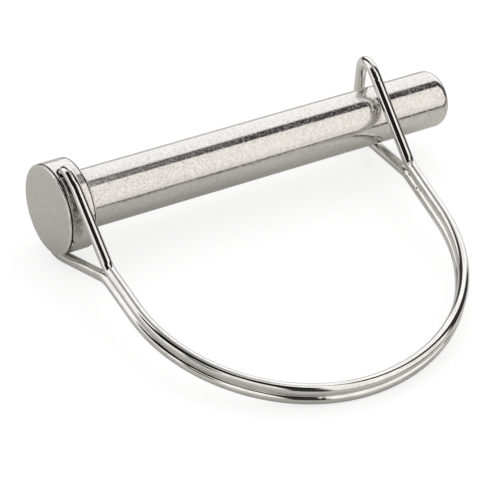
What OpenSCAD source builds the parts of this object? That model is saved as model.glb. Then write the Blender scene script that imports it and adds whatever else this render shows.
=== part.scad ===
// A headed round pin with a spring wire bail that snaps over the pin's tip.
// All sizes are in millimetres.
//
// Frame: the origin is on the pin's axis at the underside of its head. +X runs to the
// pin's tip and +Z is up. The bail reaches toward -Y and slopes down to its bow, which
// is how the part comes to rest on a flat surface.

/* [Pin] */

// Diameter of the plain round shank
shank_d = 9.5; // [8.5:0.1:10.5]
// Length from the underside of the head to the end of the tip
shank_len = 69.2; // [66:0.2:76]
// Radius that rounds the tip
tip_r = 1.9; // [0.5:0.1:3]
// Diameter of the disc head
head_d = 14.7; // [13.5:0.1:16]
// Thickness of the head
head_t = 4.85; // [4.4:0.05:6]
// Radius that breaks both rims of the head
head_edge_r = 0.3; // [0.1:0.05:0.8]
// How far the cross hole lies behind the middle of the head's thickness
hole_shift = 0.45; // [0:0.05:0.5]
// Width of the small chamfer at both mouths of the cross hole
mouth_chamfer = 0.2; // [0.15:0.05:0.4]

/* [Wire] */

// Diameter of the spring wire
wire_d = 1.85; // [1.6:0.05:2.1]
// Play of the wire in the cross hole, measured on the radius
hole_clear = 0.07; // [0.05:0.01:0.2]
// Gap between the wire's two ends inside the cross hole
end_gap = 1.6; // [0.8:0.1:4]
// Gap between the two strands where they run side by side
strand_gap = 0.06; // [0.04:0.01:0.3]
// Inside radius of the tight bends beside the head
head_bend_r = 0.25; // [0.2:0.05:0.8]
// Inside radius of the easy bends where the strands part
part_bend_r = 3.5; // [2:0.25:6]
// Inside radius of the two corners of the tall loop
loop_bend_r = 2.6; // [1:0.1:3]

/* [Bail] */

// Distance from the pin's axis to where the strands part for the head
head_part_y = 16; // [14:0.5:20]
// Distance from the pin's axis to where the strands part for the loop
loop_part_y = 13.4; // [12:0.2:16]
// Distance back from the tip to where the strands part for the loop
loop_part_x = 14.4; // [12:0.2:18]
// Depth of the bow's corner at the head end, before it is rounded
bow_head_y = 54.3; // [50:0.5:60]
// How far that corner lies behind the cross hole
bow_head_x = 0.75; // [0:0.05:2]
// Depth of the bow's corner at the tip end, before it is rounded
bow_tip_y = 49.5; // [46:0.5:56]
// Distance back from the tip to that corner
bow_tip_x = 18.4; // [16:0.2:22]
// Rounding of the bow at the head end
bow_head_r = 26.5; // [18:0.5:28]
// Rounding of the bow at the tip end
bow_tip_r = 30.6; // [20:0.2:32]
// Distance back from the tip to the middle of the loop's crossbar
loop_x = 11.2; // [9:0.1:14]
// Half of the loop's lean along the pin
loop_lean_x = 1.75; // [0:0.05:2.5]
// Half of the loop's lean away from the pin
loop_lean_y = 0.7; // [0:0.05:1]
// Clearance between the head's rim and the wire that lies round it
rim_clear = 0.1; // [0.08:0.01:0.4]
// Clearance between the shank and the loop's legs
loop_leg_clear = 0.59; // [0.58:0.01:1]
// Clearance between the shank and the loop's crossbar
crossbar_clear = 1; // [0.6:0.05:1.5]

/* [Hidden] */

// segments of a full circle: the turned pin, then the wire
pin_fn = 96;
wire_fn = 28;
$fn = pin_fn;

// straights reach this far into the bends, and are thinner by the step
lap = 0.05;
step = 0.004;
// least straight left between the bow's two rounded corners
bow_straight = 0.2;
// angle round the rim that stays straight after the tight bend beside the head
wrap_lead = 1;
// how far the cross hole's cutter stands out of the head
cut_over = 1;

zinc_plate = [0.74, 0.74, 0.72];
bright_wire = [0.8, 0.81, 0.82];

shank_r = shank_d / 2;
head_r = head_d / 2;
wire_r = wire_d / 2;
hole_x = -head_t / 2 - hole_shift;
hole_r = wire_r + hole_clear;

// half of the distance between the centre lines of the two strands
strand_z = wire_r + strand_gap / 2;

// radii on the wire's centre line
head_bend = wire_r + head_bend_r;
part_bend = wire_r + part_bend_r;
loop_bend = wire_r + loop_bend_r;

// beside the head the wire turns down, follows the rim and leaves it straight for the
// point where the strands part: the angles where it meets and leaves the rim's circle
rim_path = head_r + wire_r + rim_clear;
rim_start = asin(head_bend / (rim_path - head_bend)) + wrap_lead;
rim_end = slope(head_part_y, rim_path);
head_z = rim_path / cos(rim_start);
wrap_reach = rim_path / cos((rim_end - rim_start) / 2);
wrap_y = -wrap_reach * sin((rim_end + rim_start) / 2);
wrap_z = wrap_reach * cos((rim_end + rim_start) / 2);

// the loop's legs just clear a circle round the shank, which sets how tall the loop stands
crossbar_y = shank_r + wire_r + crossbar_clear;
loop_slope = slope(loop_part_y, shank_r + wire_r + loop_leg_clear);
loop_z = strand_z + (loop_part_y + crossbar_y + loop_lean_y) * tan(loop_slope);

// corners of the bail in its own plane, from the head to the loop
head_part = [hole_x, -head_part_y];
bow_head = [hole_x - bow_head_x, -bow_head_y];
bow_tip = [shank_len - bow_tip_x, -bow_tip_y];
loop_part = [shank_len - loop_part_x, -loop_part_y];
crossbar = [shank_len - loop_x, crossbar_y];
lean = [loop_lean_x, loop_lean_y];

// the bow's roundings shrink together where they would run past each other
bow_need = bow_head_r * tan(turn(bow_head - head_part, bow_tip - bow_head) / 2)
         + bow_tip_r * tan(turn(bow_tip - bow_head, loop_part - bow_tip) / 2);
bow_fit = min(1, (norm(bow_tip - bow_head) - bow_straight) / bow_need);

// depth of the bow below the pin's axis, on the wire's centre line
bow_low = bow_head_y > bow_tip_y
  ? bow_fit * bow_head_r - bend_centre(head_part, bow_head, bow_tip, bow_fit * bow_head_r)[1]
  : bow_fit * bow_tip_r - bend_centre(bow_head, bow_tip, loop_part, bow_fit * bow_tip_r)[1];

// the bail rests on its bow and on the tight bend beside the head
rest_run = bow_low - head_bend;
rest_rise = head_z - head_bend * tan((90 + rim_start) / 2) - strand_z;
rest_tilt = atan2(rest_rise, rest_run) + asin(head_bend / norm([rest_run, rest_rise]));

bail_corners = concat(
  [[hole_x, 0, end_gap / 2], [hole_x, 0, head_z], [hole_x, wrap_y, wrap_z]],
  strand(strand_z),
  [lift(crossbar - lean, loop_z), lift(crossbar + lean, -loop_z)],
  reversed(strand(-strand_z)),
  [[hole_x, wrap_y, -wrap_z], [hole_x, 0, -head_z], [hole_x, 0, -end_gap / 2]]
);

half_radii = [
  0, head_bend, rim_path, part_bend,
  bow_fit * bow_head_r, bow_fit * bow_tip_r, part_bend, loop_bend
];
bail_radii = concat(half_radii, reversed(half_radii));

// angle of a line from a strand's parting point that clears a circle round the axis
function slope(part_y, clear_r) =
  asin(clear_r / norm([part_y, strand_z])) - atan2(strand_z, part_y);

function lift(p, z) = [p[0], p[1], z];
function strand(z) = [lift(head_part, z), lift(bow_head, z), lift(bow_tip, z), lift(loop_part, z)];
function reversed(list) = [for (i = [len(list) - 1:-1:0]) list[i]];
function unit(v) = v / norm(v);
function turn(a, b) = acos(max(-1, min(1, unit(a) * unit(b))));

// direction square to u, on the side that v turns to
function square_to(u, v) = unit(v - u * (u * v));

// centre of the bend of radius r that rounds the corner q of the path p, q, s
function bend_centre(p, q, s, r) =
  let (u = unit(q - p), v = unit(s - q))
  q - u * r * tan(turn(u, v) / 2) + square_to(u, v) * r;

// length of each straight that a bend of radius r takes up at corner i
function setback(points, radii, i) =
  (i == 0 || i == len(points) - 1)
    ? 0
    : radii[i] * tan(turn(points[i] - points[i - 1], points[i + 1] - points[i]) / 2);

// a straight of wire between two points
module straight(p, q) {
  d = q - p;
  n = norm(d);
  translate(p)
    rotate([0, acos(d[2] / n), atan2(d[1], d[0])])
      translate([0, 0, -lap])
        cylinder(r = wire_r - step, h = n + 2 * lap);
}

// a bend of radius r that rounds the corner q of the path p, q, s
module bend(p, q, s, r) {
  u = unit(q - p);
  v = unit(s - q);
  outward = -square_to(u, v);
  side = cross(outward, u);
  c = bend_centre(p, q, s, r);
  multmatrix([
    [outward[0], u[0], side[0], c[0]],
    [outward[1], u[1], side[1], c[1]],
    [outward[2], u[2], side[2], c[2]],
    [0, 0, 0, 1]
  ])
    rotate_extrude(angle = turn(u, v))
      translate([r, 0])
        circle(r = wire_r);
}

// round wire laid through the points, with every corner bent to its radius
module wire_path(points, radii) {
  for (i = [0:len(points) - 2]) {
    way = unit(points[i + 1] - points[i]);
    from = points[i] + way * setback(points, radii, i);
    to = points[i + 1] - way * setback(points, radii, i + 1);
    straight(from, to);
  }
  for (i = [1:len(points) - 2]) {
    bend(points[i - 1], points[i], points[i + 1], radii[i]);
  }
}

// half section of the pin: x is the radius, y runs along the pin to the tip
module pin_section() {
  // head with both rims rounded
  translate([0, -head_t])
    square([head_r - head_edge_r, head_t]);
  translate([0, -head_t + head_edge_r])
    square([head_r, head_t - 2 * head_edge_r]);
  for (y = [-head_t + head_edge_r, -head_edge_r]) {
    translate([head_r - head_edge_r, y])
      circle(r = head_edge_r);
  }
  // shank and rounded tip
  translate([0, -lap])
    square([shank_r, shank_len - tip_r + lap]);
  translate([0, -lap])
    square([shank_r - tip_r, shank_len + lap]);
  translate([shank_r - tip_r, shank_len - tip_r])
    circle(r = tip_r);
}

// the space taken out of the head for the bail's ends, with both mouths chamfered
module cross_hole() {
  cylinder(r = hole_r, h = 2 * (head_r + cut_over), center = true);
  for (side = [0, 180]) {
    rotate([side, 0, 0])
      translate([0, 0, head_r - mouth_chamfer])
        cylinder(r1 = hole_r, r2 = hole_r + mouth_chamfer + cut_over, h = mouth_chamfer + cut_over);
  }
}

// solid pin with the cross hole through its head
module headed_pin() {
  color(zinc_plate)
    difference() {
      rotate([0, 90, 0])
        rotate_extrude()
          pin_section();
      rotate([rest_tilt, 0, 0])
        translate([hole_x, 0, 0])
          cross_hole();
    }
}

// one length of spring wire: both ends in the head, two strands round the bow, a tall loop
module wire_bail() {
  color(bright_wire)
    rotate([rest_tilt, 0, 0])
      wire_path(bail_corners, bail_radii, $fn = wire_fn);
}

headed_pin();
wire_bail();
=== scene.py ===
"""Looks for a headed pin with a spring wire bail: the swept wire, the metals, floor and light.

The frame is the CAD's: the origin is on the pin's axis under its head, +X runs to the tip and
+Z is up. The pin and the wire are sized in millimetres, as in the part's source, and scaled
to metres on the way into a mesh. The floor, the card, the lamp and the camera are in metres.
"""
import math

import bpy
import numpy as np
from mathutils import Matrix, Vector


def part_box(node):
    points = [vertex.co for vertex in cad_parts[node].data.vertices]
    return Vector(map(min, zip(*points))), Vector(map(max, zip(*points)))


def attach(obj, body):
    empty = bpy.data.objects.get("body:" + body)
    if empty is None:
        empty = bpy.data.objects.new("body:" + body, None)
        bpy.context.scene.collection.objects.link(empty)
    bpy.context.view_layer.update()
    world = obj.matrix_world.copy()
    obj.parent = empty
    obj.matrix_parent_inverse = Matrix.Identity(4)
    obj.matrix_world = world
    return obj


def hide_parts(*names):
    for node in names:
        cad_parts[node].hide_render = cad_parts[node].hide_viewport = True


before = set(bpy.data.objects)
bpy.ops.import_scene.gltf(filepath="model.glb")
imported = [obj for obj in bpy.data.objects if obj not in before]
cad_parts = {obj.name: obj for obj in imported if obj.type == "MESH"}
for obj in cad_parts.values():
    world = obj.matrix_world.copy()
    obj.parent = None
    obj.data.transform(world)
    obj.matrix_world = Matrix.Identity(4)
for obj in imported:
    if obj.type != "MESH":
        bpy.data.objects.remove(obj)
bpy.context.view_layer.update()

MM = 0.001

# The sizes down to WRAP_LEAD have the names and values of the part's source.

# the pin, how far its cross hole lies behind the head's middle, and the wire's play in it
SHANK_D = 9.5
SHANK_LEN = 69.2
HEAD_D = 14.7
HEAD_T = 4.85
HOLE_SHIFT = 0.45
HOLE_CLEAR = 0.07

# the wire, the gap between its two ends, the gap between its strands, and the inside radii
# of its bends beside the head, at the partings and on the tall loop
WIRE_D = 1.85
END_GAP = 1.6
STRAND_GAP = 0.06
HEAD_BEND_R = 0.25
PART_BEND_R = 3.5
LOOP_BEND_R = 2.6

# where the strands part for the head and for the loop: away from the axis, back from the tip
HEAD_PART_Y = 16
LOOP_PART_Y = 13.4
LOOP_PART_X = 14.4

# the bow's two corners: depth from the axis, distance behind the hole or back from the tip,
# and rounding, with the least straight between them
BOW_HEAD_Y = 54.3
BOW_HEAD_X = 0.75
BOW_HEAD_R = 26.5
BOW_TIP_Y = 49.5
BOW_TIP_X = 18.4
BOW_TIP_R = 30.6
BOW_STRAIGHT = 0.2

# the loop's crossbar back from the tip, and half of its lean along the pin and away from it
LOOP_X = 11.2
LOOP_LEAN_X = 1.75
LOOP_LEAN_Y = 0.7

# the wire's clearances from the head's rim and the shank, and the angle in degrees round the
# rim that stays straight after the tight bend
RIM_CLEAR = 0.1
LOOP_LEG_CLEAR = 0.59
CROSSBAR_CLEAR = 1
WRAP_LEAD = 1

SHANK_R = SHANK_D / 2
HEAD_R = HEAD_D / 2
WIRE_R = WIRE_D / 2
HOLE_X = -HEAD_T / 2 - HOLE_SHIFT
HOLE_R = WIRE_R + HOLE_CLEAR


# the wire's route, worked out as the part's source works it out

def unit(v):
    return v / np.linalg.norm(v)


def turn(a, b):
    """Angle between two directions."""
    return math.acos(max(-1.0, min(1.0, float(unit(a) @ unit(b)))))


def slope(part_y, clear_r, strand_z):
    """Angle of a line from a strand's parting point that clears a circle round the axis."""
    return math.asin(clear_r / math.hypot(part_y, strand_z)) - math.atan2(strand_z, part_y)


def lift(p, z):
    return np.array([p[0], p[1], z], float)


def bend_frame(p, q, s, r):
    """Centre, setback, turn and the outward direction of the bend that rounds a corner."""
    u, v = unit(q - p), unit(s - q)
    angle = turn(u, v)
    inward = unit(v - u * (u @ v))
    setback = r * math.tan(angle / 2)
    return q - u * setback + inward * r, setback, angle, -inward


def bail_route():
    """Corners and bend radii of the whole wire in the bail's own plane, and its tilt at rest."""
    strand_z = WIRE_R + STRAND_GAP / 2
    head_bend = WIRE_R + HEAD_BEND_R
    part_bend = WIRE_R + PART_BEND_R
    loop_bend = WIRE_R + LOOP_BEND_R
    # the leg leaves the hole, turns the tight bend and lies round the head's rim
    rim_path = HEAD_R + WIRE_R + RIM_CLEAR
    rim_start = math.asin(head_bend / (rim_path - head_bend)) + math.radians(WRAP_LEAD)
    rim_end = slope(HEAD_PART_Y, rim_path, strand_z)
    head_z = rim_path / math.cos(rim_start)
    wrap_reach = rim_path / math.cos((rim_end - rim_start) / 2)
    wrap = (-wrap_reach * math.sin((rim_end + rim_start) / 2),
            wrap_reach * math.cos((rim_end + rim_start) / 2))
    # the loop's legs and its crossbar clear the shank
    crossbar_y = SHANK_R + WIRE_R + CROSSBAR_CLEAR
    loop_slope = slope(LOOP_PART_Y, SHANK_R + WIRE_R + LOOP_LEG_CLEAR, strand_z)
    loop_z = strand_z + (LOOP_PART_Y + crossbar_y + LOOP_LEAN_Y) * math.tan(loop_slope)
    # the strand's corners round the bow, whose two roundings shrink together if they must
    flat = [(HOLE_X, -HEAD_PART_Y), (HOLE_X - BOW_HEAD_X, -BOW_HEAD_Y),
            (SHANK_LEN - BOW_TIP_X, -BOW_TIP_Y), (SHANK_LEN - LOOP_PART_X, -LOOP_PART_Y)]
    strand = [lift(p, strand_z) for p in flat]
    turns = [turn(strand[i] - strand[i - 1], strand[i + 1] - strand[i]) for i in (1, 2)]
    need = BOW_HEAD_R * math.tan(turns[0] / 2) + BOW_TIP_R * math.tan(turns[1] / 2)
    room = np.linalg.norm(strand[2] - strand[1]) - BOW_STRAIGHT
    fit = min(1.0, room / need)
    # one half of the wire, the crossbar across the middle, and the other half mirrored
    half = [lift((HOLE_X, 0), END_GAP / 2), lift((HOLE_X, 0), head_z),
            lift((HOLE_X, wrap[0]), wrap[1])] + strand
    half_radii = [0, head_bend, rim_path, part_bend,
                  fit * BOW_HEAD_R, fit * BOW_TIP_R, part_bend, loop_bend]
    crossbar = np.array([SHANK_LEN - LOOP_X, crossbar_y])
    lean = np.array([LOOP_LEAN_X, LOOP_LEAN_Y])
    other = [p * (1, 1, -1) for p in reversed(half)]
    corners = half + [lift(crossbar - lean, loop_z), lift(crossbar + lean, -loop_z)] + other
    # the bail lies on its bow and on the tight bends, which sets its tilt
    p, q, s = strand[0], strand[1], strand[2]
    bow_low = fit * BOW_HEAD_R - bend_frame(p, q, s, fit * BOW_HEAD_R)[0][1]
    run = bow_low - head_bend
    rise = head_z - head_bend * math.tan((math.pi / 2 + rim_start) / 2) - strand_z
    tilt = math.atan2(rise, run) + math.asin(head_bend / math.hypot(run, rise))
    return corners, half_radii + half_radii[::-1], tilt


CORNERS, RADII, REST_TILT = bail_route()


def aim(azimuth, elevation):
    """Unit direction from angles in degrees: azimuth 0 is +Y and 90 is +X."""
    a, e = math.radians(azimuth), math.radians(elevation)
    return (math.sin(a) * math.cos(e), math.cos(a) * math.cos(e), math.sin(e))


# the tube's sides, the spacing of its rings along the wire, the most that one ring may turn,
# and the spacing and reach of the closer rings at each tool mark
TUBE_SIDES = 48
RING_STEP = 0.45
RING_TURN = math.radians(5)
MARK_STEP = 0.08
MARK_REACH = 1.3

# a direction across the wire's start, from which the sides are counted
FIRST_SIDE = (0.0, 1.0, 0.3)

# how much a tight bend thins the wire on its outside, and the chamfer at its two cut ends
BEND_THIN = 0.05
END_CHAMFER = 0.15

# marks that the forming tool pressed into the wire: distance along it from its middle in
# millimetres, azimuth and elevation that the mark faces, depth and half length
TOOL_MARKS = [
    (29.4, -140, 40, 0.07, 0.38), (33.2, -140, 40, 0.07, 0.38), (-13.5, -120, 50, 0.02, 0.22),
    (-29.6, -140, 60, 0.02, 0.3), (-134.8, -120, 60, 0.025, 0.3), (96.9, -160, 35, 0.01, 0.35),
    (93.3, -170, 20, 0.008, 0.3), (12.5, 60, -20, 0.03, 0.28), (-24.0, 30, 10, 0.02, 0.4),
    (-46.0, 70, 10, 0.012, 0.5), (46.5, 20, -60, 0.012, 0.5), (-76.0, 0, 0, 0.012, 0.5),
    (76.0, 20, -50, 0.012, 0.5), (-104.0, 40, 20, 0.012, 0.5), (118.0, 60, 0, 0.02, 0.4),
    (129.0, 20, -30, 0.025, 0.4),
]

# a mark's width round the wire, and its lips: height as a share of the mark's depth, place
# and width in half lengths of the mark
MARK_WIDTH = math.radians(36)
LIP_HEIGHT = 0.35
LIP_PLACE = 2.1
LIP_WIDTH = 0.7


class Route:
    """The wire's centre line as straights and round bends, measured along its length."""

    def __init__(self, corners, radii):
        self.parts = []
        self.length = 0.0
        start = corners[0]
        for i in range(1, len(corners)):
            way = unit(corners[i] - corners[i - 1])
            if i == len(corners) - 1:
                self.add(np.linalg.norm(corners[i] - start), start, way)
                break
            centre, setback, angle, outward = bend_frame(
                corners[i - 1], corners[i], corners[i + 1], radii[i])
            end = corners[i] - way * setback
            self.add(np.linalg.norm(end - start), start, way)
            self.add(radii[i] * angle, centre, way, radii[i], outward)
            start = centre + radii[i] * (outward * math.cos(angle) + way * math.sin(angle))

    def add(self, length, origin, way, radius=None, outward=None):
        """Add a straight from its start, or a bend from its centre."""
        self.parts.append((self.length, length, origin, way, radius, outward))
        self.length += length

    def at(self, run):
        """Point, direction, outward side of the bend and how sharply the wire bends there."""
        for start, length, origin, way, radius, outward in self.parts:
            if run <= start + length or start + length >= self.length:
                break
        if radius is None:
            return origin + way * (run - start), way, None, 0.0
        a = (run - start) / radius
        out = outward * math.cos(a) + way * math.sin(a)
        along = way * math.cos(a) - outward * math.sin(a)
        bent = math.sin(math.pi * (run - start) / length) * min(1.0, WIRE_R / radius)
        return origin + out * radius, along, out, bent

    def stations(self, marks):
        """Distances along the wire at which the tube gets a ring."""
        runs = {0.0, self.length, END_CHAMFER, self.length - END_CHAMFER}
        for start, length, _, _, radius, _ in self.parts:
            step = RING_STEP if radius is None else min(RING_STEP, RING_TURN * radius)
            n = max(1, math.ceil(length / step))
            runs.update(start + length * k / n for k in range(n))
        for at in marks:
            middle = self.length / 2 + at
            n = round(MARK_REACH / MARK_STEP)
            runs = {r for r in runs if abs(r - middle) > MARK_REACH}
            runs.update(middle + MARK_STEP * k for k in range(-n, n + 1))
        return sorted(runs)


def pressed(along, off):
    """Depth of a mark as a share of its deepest: a dimple with a low lip at both of its ends."""
    lips = math.exp(-((abs(along) - LIP_PLACE) / LIP_WIDTH) ** 2)
    dimple = math.exp(-along * along) - LIP_HEIGHT * lips
    return dimple * np.exp(-(off / MARK_WIDTH) ** 2)


def tube(route, turned):
    """Vertices of the round wire ring by ring, each ring's place along it, and the angles."""
    verts = []
    runs = route.stations([mark[0] for mark in TOOL_MARKS])
    angles = np.arange(TUBE_SIDES) * 2 * math.pi / TUBE_SIDES
    side = None
    for run in runs:
        point, way, out, bent = route.at(run)
        point, way = turned @ point, turned @ way
        # each ring takes its sides from the ring before it, so that the tube doesn't twist
        side = np.cross(way, FIRST_SIDE) if side is None else side - way * (side @ way)
        side = unit(side)
        ring = np.cos(angles)[:, None] * side + np.sin(angles)[:, None] * np.cross(way, side)
        r = np.full(TUBE_SIDES, WIRE_R)
        if out is not None:
            r -= WIRE_R * BEND_THIN * bent * np.clip(ring @ (turned @ out), 0, 1) ** 2
        for at, azimuth, elevation, depth, half in TOOL_MARKS:
            along = (run - route.length / 2 - at) / half
            if abs(along) * half < MARK_REACH:
                to = np.array(aim(azimuth, elevation))
                off = np.arccos(np.clip(ring @ unit(to - way * (to @ way)), -1, 1))
                r -= depth * pressed(along, off)
        to_end = min(run, route.length - run)
        r -= max(0.0, END_CHAMFER - to_end)
        verts.extend(point + ring * r[:, None])
    return verts, runs, angles


def tube_faces(rings):
    """Four-sided faces between the rings, and one face that closes each end."""
    faces = []
    for i in range(rings - 1):
        here, there = i * TUBE_SIDES, (i + 1) * TUBE_SIDES
        for k in range(TUBE_SIDES):
            n = (k + 1) % TUBE_SIDES
            faces.append((here + k, here + n, there + n, there + k))
    faces.append(tuple(reversed(range(TUBE_SIDES))))
    faces.append(tuple((rings - 1) * TUBE_SIDES + k for k in range(TUBE_SIDES)))
    return faces


def new_object(name, data):
    obj = bpy.data.objects.new(name, data)
    bpy.context.scene.collection.objects.link(obj)
    return obj


def wire_object():
    """The whole bail as one mesh, with each vertex's place on the straightened wire."""
    turned = np.array(Matrix.Rotation(REST_TILT, 3, "X"))
    verts, runs, angles = tube(Route(CORNERS, RADII), turned)
    rings = len(runs)
    mesh = bpy.data.meshes.new("wire_bail_bright")
    mesh.from_pydata([v * MM for v in verts], [], tube_faces(rings))
    # the material's noises are laid along the wire by this place, in millimetres
    skin = np.stack([WIRE_R * np.tile(np.cos(angles), rings),
                     WIRE_R * np.tile(np.sin(angles), rings), np.repeat(runs, TUBE_SIDES)], 1)
    place = mesh.attributes.new("skin", "FLOAT_VECTOR", "POINT")
    place.data.foreach_set("vector", skin.ravel())
    mesh.validate()
    mesh.polygons.foreach_set("use_smooth", [len(p.vertices) == 4 for p in mesh.polygons])
    return new_object("wire_bail_bright", mesh)


# shader nodes

# the Mix node's sockets for colours: factor, the two colours and the result
MIX_FACTOR, MIX_A, MIX_B, MIX_RESULT = 0, 6, 7, 2


class Nodes:
    """Short calls that add and join shader nodes in one tree."""

    def __init__(self, tree):
        self.tree = tree
        tree.nodes.clear()

    def add(self, kind, **settings):
        node = self.tree.nodes.new(kind)
        for key, value in settings.items():
            setattr(node, key, value)
        return node

    def put(self, socket, value):
        """Join another node's output to a socket, or set a plain value on it."""
        if isinstance(value, bpy.types.NodeSocket):
            self.tree.links.new(value, socket)
        else:
            socket.default_value = value

    def math(self, operation, *values, clamp=False):
        node = self.add("ShaderNodeMath", operation=operation, use_clamp=clamp)
        for socket, value in zip(node.inputs, values):
            self.put(socket, value)
        return node.outputs[0]

    def times(self, product, *factors):
        for factor in factors:
            product = self.math("MULTIPLY", product, factor)
        return product

    def vector(self, operation, *values):
        node = self.add("ShaderNodeVectorMath", operation=operation)
        for socket, value in zip(node.inputs, values):
            self.put(socket, value)
        return node.outputs["Value" if operation in ("DOT_PRODUCT", "LENGTH") else "Vector"]

    def combine(self, x, y, z):
        node = self.add("ShaderNodeCombineXYZ")
        for socket, value in zip(node.inputs, (x, y, z)):
            self.put(socket, value)
        return node.outputs[0]

    def separate(self, vector):
        node = self.add("ShaderNodeSeparateXYZ")
        self.put(node.inputs[0], vector)
        return node.outputs

    def noise(self, vector, scale, detail, roughness):
        node = self.add("ShaderNodeTexNoise")
        self.put(node.inputs["Vector"], vector)
        node.inputs["Scale"].default_value = scale
        node.inputs["Detail"].default_value = detail
        node.inputs["Roughness"].default_value = roughness
        return node.outputs["Fac"]

    def span(self, value, low, high, to_low, to_high):
        """Take a value smoothly from one range to another, held at the ends."""
        node = self.add("ShaderNodeMapRange", interpolation_type="SMOOTHSTEP")
        for socket, v in zip(node.inputs, (value, low, high, to_low, to_high)):
            self.put(socket, v)
        return node.outputs[0]

    def bar(self, value, middle, inner, outer):
        """1 within the inner distance of a middle value, 0 beyond the outer one."""
        away = self.math("ABSOLUTE", self.math("SUBTRACT", value, middle))
        return self.span(away, inner, outer, 1.0, 0.0)

    def mix(self, factor, a, b):
        node = self.add("ShaderNodeMix", data_type="RGBA")
        self.put(node.inputs[MIX_FACTOR], factor)
        self.put(node.inputs[MIX_A], a)
        self.put(node.inputs[MIX_B], b)
        return node.outputs[MIX_RESULT]

    def show(self, shader, kind="ShaderNodeOutputMaterial"):
        self.put(self.add(kind).inputs["Surface"], shader)


def grey(level, warmth=0.0):
    return (level * (1 + warmth), level, level * (1 - warmth), 1.0)


def new_material(name):
    material = bpy.data.materials.new(name)
    material.use_nodes = True
    return material, Nodes(material.node_tree)


def metal(n, colour, roughness, height, relief):
    """A metal surface whose bump is as deep as the relief, in metres, for a height of 1."""
    bump = n.add("ShaderNodeBump")
    bump.inputs["Strength"].default_value = 1.0
    bump.inputs["Distance"].default_value = relief
    n.put(bump.inputs["Height"], height)
    shader = n.add("ShaderNodeBsdfPrincipled")
    shader.inputs["Metallic"].default_value = 1.0
    n.put(shader.inputs["Base Color"], colour)
    n.put(shader.inputs["Roughness"], roughness)
    n.put(shader.inputs["Normal"], bump.outputs["Normal"])
    n.show(shader.outputs[0])


# the pin's metal, in millimetres on the pin

# noises: scale, detail and roughness, and how grain and pits are drawn out along the shank
GRAIN = (2.8, 2.0, 0.5)
GRAIN_DRAWN = (0.55, 1.0, 1.0)
FINE_SPECKLE = (4.2, 3.0, 0.75)
MOTTLE = (1.6, 5.0, 0.65)
UNEVEN_WEAR = (2.2, 4.0, 0.7)
PITS = (5.2, 2.0, 0.6)
PITS_DRAWN = (0.8, 1.0, 1.0)
PIT_PATCHES = (0.16, 2.0, 0.5)

# the dark lines on the head's side, painted shade and dark reflection with some dark residue:
# distance from the front or back rim, and half widths at full strength and at the fade's end
FRONT_LINE = (0.42, 0.11, 0.19)
BACK_LINE = (0.36, 0.05, 0.12)

# the band of the wire's painted dark reflection under the wire in the same form, and the reach
# of the painted shade round the hole's mouths with how much its edge wanders
WIRE_REFLECTION_BAND = (HOLE_X - 0.5, 0.4, 1.1)
HOLE_SHADE_REACH = (HOLE_R + 0.22, HOLE_R + 0.4)
HOLE_SHADE_WANDER = 0.3

# height of the grain and depth of the pits, for a relief in metres
GRAIN_HEIGHT = 0.35
PIT_DEPTH = 2.2
PIN_RELIEF = 0.000013

PLATE_DULL = (0.69, 0.675, 0.655, 1.0)
PLATE_BRIGHT = (0.785, 0.776, 0.764, 1.0)
SPECKLE = (0.42, 0.4, 0.382, 1.0)
PIT_FLOOR = (0.34, 0.322, 0.305, 1.0)
# painted dark reflection of the wire on the head's side
PAINTED_WIRE_REFLECTION = (0.16, 0.138, 0.122, 1.0)
WORN_RIM = (0.9, 0.9, 0.89, 1.0)
# the black of the painted shade in the cross hole, and of the rim lines, which are painted shade
# with some dark residue
RESIDUE_AND_PAINTED_SHADE = (0.02, 0.019, 0.018, 1.0)


def pits_mask(n, mm, x, y):
    """Sharp pits in patches, stronger toward the head and on the side that faces -Y."""
    pits = n.noise(n.vector("MULTIPLY", mm, PITS_DRAWN), *PITS)
    patches = n.span(n.noise(mm, *PIT_PATCHES), 0.35, 0.6, 0.5, 1.0)
    toward_head = n.span(x, 8.0, 42.0, 0.75, 0.5)
    toward_bail = n.span(y, -1.5, 1.5, 1.0, 0.25)
    return n.times(n.span(pits, 0.3, 0.42, 1.0, 0.0), n.times(patches, toward_head, toward_bail))


def rim_masks(n, x, radius, rim_side, uneven):
    """Bright wear along both rims of the head, and the dark line just behind each of them: painted
    shade and dark reflection, with some dark residue where the edge was turned.
    """
    to_front = n.math("ABSOLUTE", n.math("ADD", x, HEAD_T))
    to_back = n.math("ABSOLUTE", x)
    to_rim = n.math("MINIMUM", to_front, to_back)
    edge = n.times(n.span(radius, HEAD_R - 0.5, HEAD_R - 0.1, 0.0, 1.0),
                   n.span(to_rim, 0.05, 0.35, 1.0, 0.0))
    wear = n.times(edge, n.span(uneven, 0.38, 0.6, 0.3, 1.0))
    # the line at the front rim is the wider one, and small nicks break both
    line = n.math("MAXIMUM", n.bar(to_front, *FRONT_LINE), n.bar(to_back, *BACK_LINE))
    line = n.times(line, rim_side, n.span(uneven, 0.3, 0.4, 0.55, 1.0))
    return wear, line


def hole_shade_mask(n, x, y, z, uneven):
    """Painted shade: 1 in the cross hole and round its mouths, with an uneven edge."""
    across = n.math("ADD", n.times(y, math.cos(REST_TILT)), n.times(z, math.sin(REST_TILT)))
    from_hole = n.vector("LENGTH", n.combine(n.math("SUBTRACT", x, HOLE_X), across, 0.0))
    from_hole = n.math("ADD", from_hole, n.times(uneven, HOLE_SHADE_WANDER))
    return n.span(from_hole, *HOLE_SHADE_REACH, 1.0, 0.0)


def wire_reflection_mask(n, x, y, z, rim_side, uneven):
    """Painted dark reflection of the wire round the head, on the upper side that faces the bail.
    """
    toward_bail = n.span(y, -3.0, 0.5, 1.0, 0.0)
    broken = n.span(uneven, 0.36, 0.56, 0.2, 0.75)
    upper = n.span(z, -1.8, 0.6, 0.0, 1.0)
    return n.times(n.bar(x, *WIRE_REFLECTION_BAND), toward_bail, rim_side, broken, upper)


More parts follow.
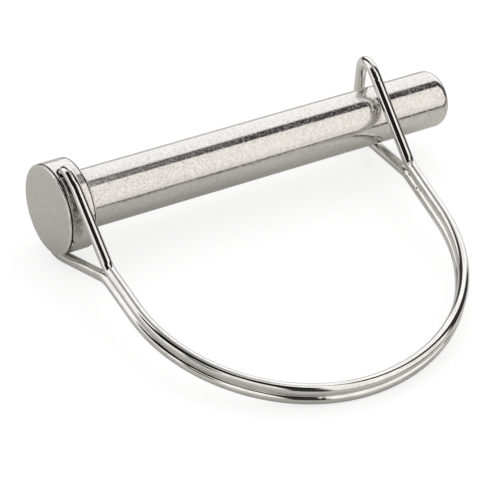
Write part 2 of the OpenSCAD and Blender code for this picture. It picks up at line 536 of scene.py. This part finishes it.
def pin_metal():
    """Zinc-plated steel: satin grain, speckle and pits, worn rims, a dark line of painted shade
    behind each, painted shade in the cross hole and a painted reflection of the wire.
    """
    material, n = new_material("plated_pin_satin")
    mm = n.vector("SCALE", n.add("ShaderNodeTexCoord").outputs["Object"])
    mm.node.inputs["Scale"].default_value = 1 / MM
    x, y, z = n.separate(mm)
    radius = n.vector("LENGTH", n.combine(0.0, y, z))
    # grain drawn out along the shank, fine speckle all over, and broader mottling
    grain = n.noise(n.vector("MULTIPLY", mm, GRAIN_DRAWN), *GRAIN)
    speckle = n.noise(mm, *FINE_SPECKLE)
    mottle = n.noise(mm, *MOTTLE)
    uneven = n.noise(mm, *UNEVEN_WEAR)
    rim_side = n.span(radius, HEAD_R - 0.06, HEAD_R - 0.02, 0.0, 1.0)
    pits = pits_mask(n, mm, x, y)
    wear, line = rim_masks(n, x, radius, rim_side, uneven)
    hole_shade = hole_shade_mask(n, x, y, z, uneven)
    wire_reflection = wire_reflection_mask(n, x, y, z, rim_side, uneven)
    colour = n.mix(n.span(mottle, 0.3, 0.7, 0.0, 1.0), PLATE_DULL, PLATE_BRIGHT)
    colour = n.mix(n.span(speckle, 0.47, 0.66, 0.0, 0.25), colour, SPECKLE)
    colour = n.mix(n.times(pits, 0.3), colour, PIT_FLOOR)
    # painted dark reflection of the wire on the head's side
    colour = n.mix(wire_reflection, colour, PAINTED_WIRE_REFLECTION)
    colour = n.mix(wear, colour, WORN_RIM)
    # painted shade in the rim lines, and in the cross hole and round its mouths
    colour = n.mix(n.math("MAXIMUM", line, n.times(hole_shade, 0.85)), colour, RESIDUE_AND_PAINTED_SHADE)
    roughness = n.span(mottle, 0.25, 0.75, 0.08, 0.13)
    roughness = n.math("SUBTRACT", roughness, n.times(wear, 0.04), clamp=True)
    height = n.math("SUBTRACT", n.times(grain, GRAIN_HEIGHT), n.times(pits, PIT_DEPTH))
    metal(n, colour, roughness, height, PIN_RELIEF)
    return material


# the wire's metal, in millimetres on the straightened wire

# noises: scale, detail and roughness, and how the draw lines are stretched along the wire
DRAW_LINES = (5.0, 3.0, 0.6)
LINES_DRAWN = (1.0, 1.0, 0.02)
STAINS = (0.55, 4.0, 0.65)
WIRE_PITS = (3.6, 3.0, 0.6)

# height of the draw lines and of the pits' noise, for a relief in metres
LINE_HEIGHT = 0.8
WIRE_PIT_HEIGHT = 0.2
WIRE_RELIEF = 0.000004

WIRE_BRIGHT = (0.85, 0.85, 0.845, 1.0)
WIRE_STAINED = (0.77, 0.76, 0.74, 1.0)
DRAW_LINE = (0.5, 0.49, 0.475, 1.0)
WIRE_PIT = (0.36, 0.34, 0.32, 1.0)


def wire_metal():
    """Bright drawn wire: near mirror, with faint lengthwise draw lines and small stains."""
    material, n = new_material("bright_wire_drawn")
    skin = n.add("ShaderNodeAttribute", attribute_name="skin").outputs["Vector"]
    lines = n.noise(n.vector("MULTIPLY", skin, LINES_DRAWN), *DRAW_LINES)
    stain = n.noise(skin, *STAINS)
    pit = n.noise(skin, *WIRE_PITS)
    colour = n.mix(n.span(stain, 0.35, 0.7, 0.0, 1.0), WIRE_BRIGHT, WIRE_STAINED)
    colour = n.mix(n.span(lines, 0.5, 0.68, 0.0, 0.5), colour, DRAW_LINE)
    colour = n.mix(n.span(pit, 0.6, 0.7, 0.0, 0.6), colour, WIRE_PIT)
    roughness = n.span(stain, 0.3, 0.75, 0.03, 0.07)
    height = n.math("ADD", n.times(lines, LINE_HEIGHT), n.times(pit, WIRE_PIT_HEIGHT))
    metal(n, colour, roughness, height, WIRE_RELIEF)
    return material


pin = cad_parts["headed_pin"]
plated = pin_metal()
for slot in pin.material_slots:
    slot.material = plated

wire = wire_object()
wire.data.materials.append(wire_metal())
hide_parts("wire_bail")
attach(wire, "bail")


# the floor just under the bail's lowest points, and the card of painted shade that only
# reflections show

FLOOR_MIDDLE = (0.032, -0.020)
FLOOR_R = 0.16
CARD_R = 0.155
DISC_SIDES = 128

# how far the floor lies under the bail, and the card over the floor
FLOOR_GAP = 0.00002
CARD_LIFT = 0.00001

# the floor's diffuse grey, and its own light for the rays that show the background
FLOOR_GREY = 0.35
FLOOR_GLOW = 0.71

# the card's grey is painted shade of the floor round the pin, seen only in the metal
CARD_FLOOR_SHADE = (0.60, 0.578, 0.55, 1.0)
CARD_LIGHT = (0.70, 0.675, 0.64, 1.0)
CARD_STRIPE = (0.05, 0.043, 0.04, 1.0)
CARD_BLACK = (0.03, 0.028, 0.028, 1.0)

# the card's light band by X, under the tip's half of the shank, and its dark stripes by Y,
# the one past the bow a painted shadow of the bow, each as a middle with the distances at which it
# starts to fade and is gone
LIGHT_BAND = (0.062, 0.008, 0.034)
STRIPE = (-0.108, 0.024, 0.03)
BOW_SHADOW_STRIPE = (-0.078, 0.019, 0.024)

# where along X the painted shadow of the bow comes in, how dark it gets, and where the card ends
# in black
BOW_SHADOW_START = (0.034, 0.042)
BOW_SHADOW_DARK = 0.85
BLACK_START = (0.112, 0.128)


def disc(name, radius, z):
    """A flat round piece of the stage under the part."""
    ring = []
    for k in range(DISC_SIDES):
        a = 2 * math.pi * k / DISC_SIDES
        ring.append((FLOOR_MIDDLE[0] + radius * math.cos(a),
                     FLOOR_MIDDLE[1] + radius * math.sin(a), z))
    mesh = bpy.data.meshes.new(name)
    mesh.from_pydata(ring, [], [tuple(range(DISC_SIDES))])
    obj = new_object(name, mesh)
    return obj


def seen_directly(n):
    """1 for the rays that show the background: from the camera, in metal and in glass."""
    path = n.add("ShaderNodeLightPath")
    reflected = n.math("MAXIMUM", path.outputs["Is Glossy Ray"],
                       path.outputs["Is Transmission Ray"])
    return n.math("MAXIMUM", path.outputs["Is Camera Ray"], reflected)


def floor_paint():
    """Pale floor that shows white where nothing shades it and keeps a soft shadow."""
    material, n = new_material("floor_white")
    paint = n.add("ShaderNodeBsdfDiffuse")
    paint.inputs["Color"].default_value = grey(FLOOR_GREY)
    glow = n.add("ShaderNodeEmission")
    n.put(glow.inputs["Strength"], n.times(seen_directly(n), FLOOR_GLOW))
    both = n.add("ShaderNodeAddShader")
    n.put(both.inputs[0], paint.outputs[0])
    n.put(both.inputs[1], glow.outputs[0])
    n.show(both.outputs[0])
    return material


def card_shade_paint():
    """Grey card of painted floor shade on the table, with a painted shadow of the bow and black
    past the pin's tip, that only the metal's reflections show.
    """
    material, n = new_material("card_floor_shade")
    x, y, _ = n.separate(n.add("ShaderNodeTexCoord").outputs["Object"])
    colour = n.mix(n.bar(x, *LIGHT_BAND), CARD_FLOOR_SHADE, CARD_LIGHT)
    # a dark stripe in front, wider past the bow where it is the bow's painted shadow, draws the
    # line that runs along the shank
    past_bow = n.span(x, *BOW_SHADOW_START, 0.0, BOW_SHADOW_DARK)
    wide = n.times(n.bar(y, *BOW_SHADOW_STRIPE), past_bow)
    colour = n.mix(n.math("MAXIMUM", n.bar(y, *STRIPE), wide), colour, CARD_STRIPE)
    colour = n.mix(n.span(x, *BLACK_START, 0.0, 1.0), colour, CARD_BLACK)
    paint = n.add("ShaderNodeBsdfDiffuse")
    n.put(paint.inputs["Color"], colour)
    n.show(paint.outputs[0])
    return material


floor_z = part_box("wire_bail")[0][2] - FLOOR_GAP
floor = disc("floor", FLOOR_R, floor_z)
floor.data.materials.append(floor_paint())
card = disc("reflection_card", CARD_R, floor_z + CARD_LIFT)
card.data.materials.append(card_shade_paint())
card.visible_camera = False
card.visible_diffuse = False
card.visible_shadow = False


# soft studio light: soft boxes round the table that the metal reflects, with dark gaps between

# what the world gives to diffuse rays, and what it shows to the camera
EVEN_LIGHT = 0.9
WHITE = 1.0

# level and warmth of the soft boxes in front and behind, and of what is near the table
FRONT_BOXES = (1.09, 0.045)
BACK_BOXES = (1.2, 0.012)
NEAR_TABLE = (0.3, 0.03)

# round patches of the studio: azimuth, elevation, inner and outer angle in degrees, and grey
TOP_PATCH = (0, 72, 12, 27, 0.4)
DARK_PATCHES = [
    (-108, 15, 8, 15, 0.1), (12, 0, 5, 10, 0.1), (95, 9, 9, 15, 0.04),
    (-103, 57, 19, 25, 0.012), (-157, 59, 17, 22, 0.012), (-75, 35, 13, 18, 0.012),
]
GAP_GREY = 0.035

# the dark band at the table's far edge by height, its strength, and its level and warmth
TABLE_EDGE = (-0.09, 0.04, 0.055)
TABLE_EDGE_SHARE = 0.92
TABLE_EDGE_GREY = (0.1, 0.05)


def add_patch(n, way, studio_colour, azimuth, elevation, inner, outer, level):
    """Grey within the inner angle of a direction, fading out at the outer one."""
    near = n.vector("DOT_PRODUCT", way, aim(azimuth, elevation))
    patch = n.span(near, math.cos(math.radians(outer)), math.cos(math.radians(inner)), 0.0, 1.0)
    return n.mix(patch, studio_colour, grey(level))


def soft_boxes(n, x, y, z):
    """The soft boxes: warmer and fading toward the table in front, even behind."""
    behind = n.span(y, -0.3, 0.4, 0.0, 1.0)
    boxes = n.mix(behind, grey(*FRONT_BOXES), grey(*BACK_BOXES))
    lit = n.math("MAXIMUM", n.span(z, 0.0, 0.4, 0.8, 1.0),
                 n.times(behind, n.span(x, 0.0, 0.3, 0.0, 1.0)))
    return n.mix(lit, grey(*NEAR_TABLE), boxes)


def crossing_gaps(n, x, y, z):
    """1 in the two gaps between the soft boxes, which run crosswise and end below the top."""
    slant = n.math("SUBTRACT", x, n.times(y, 0.07))
    along_y = n.times(n.bar(slant, -0.11, 0.15, 0.27), n.span(z, 0.78, 0.9, 1.0, 0.0))
    # the gap along X ends high above the table on the side of the head
    above_table = n.math("MAXIMUM", n.span(x, -0.2, 0.2, 0.0, 1.0), n.span(z, 0.4, 0.55, 0.0, 1.0))
    along_x = n.times(n.span(y, -0.2, -0.17, 0.0, 1.0), n.span(y, 0.18, 0.28, 1.0, 0.0),
                      n.span(z, 0.88, 0.96, 1.0, 0.0), above_table)
    return n.math("MAXIMUM", along_x, along_y)


def studio():
    """World of soft boxes for the metal, white for the camera, and an even light for the rest."""
    world = bpy.data.worlds.new("studio")
    bpy.context.scene.world = world
    world.use_nodes = True
    n = Nodes(world.node_tree)
    way = n.vector("NORMALIZE", n.add("ShaderNodeTexCoord").outputs["Generated"])
    x, y, z = n.separate(way)
    colour = add_patch(n, way, soft_boxes(n, x, y, z), *TOP_PATCH)
    colour = n.mix(crossing_gaps(n, x, y, z), colour, grey(GAP_GREY))
    for patch in DARK_PATCHES:
        colour = add_patch(n, way, colour, *patch)
    edge = n.times(n.bar(z, *TABLE_EDGE), TABLE_EDGE_SHARE)
    colour = n.mix(edge, colour, grey(*TABLE_EDGE_GREY))
    path = n.add("ShaderNodeLightPath")
    shown = n.mix(path.outputs["Is Camera Ray"], colour, grey(WHITE))
    back = n.add("ShaderNodeBackground")
    n.put(back.inputs["Color"], n.mix(seen_directly(n), grey(EVEN_LIGHT), shown))
    n.show(back.outputs[0], "ShaderNodeOutputWorld")


studio()


def softbox(name, place, size, power):
    """A round lamp that points at the origin and shows in no reflection."""
    light = bpy.data.lights.new(name, "AREA")
    light.shape = "DISK"
    light.size = size
    light.energy = power
    obj = new_object(name, light)
    obj.location = place
    obj.rotation_euler = (-Vector(place)).to_track_quat("-Z", "Y").to_euler()
    obj.visible_glossy = False
    obj.visible_camera = False


softbox("key", place=(0.25, 0.30, 0.55), size=0.35, power=0.55)

# the camera at the photo's viewing angle, in metres, degrees and millimetres
CAMERA_PLACE = (-0.18782, -0.313697, 0.265035)
CAMERA_ANGLES = (53.2435, -4.4995, -31.9499)
LENS = 207.65
SENSOR_WIDTH = 36

camera = bpy.data.cameras.new("camera")
camera.sensor_width = SENSOR_WIDTH
camera.lens = LENS
camera.clip_start = 0.01
camera.clip_end = 20
view = new_object("camera", camera)
view.location = CAMERA_PLACE
view.rotation_euler = tuple(math.radians(a) for a in CAMERA_ANGLES)
bpy.context.scene.camera = view

bpy.context.scene.view_settings.view_transform = "Standard"
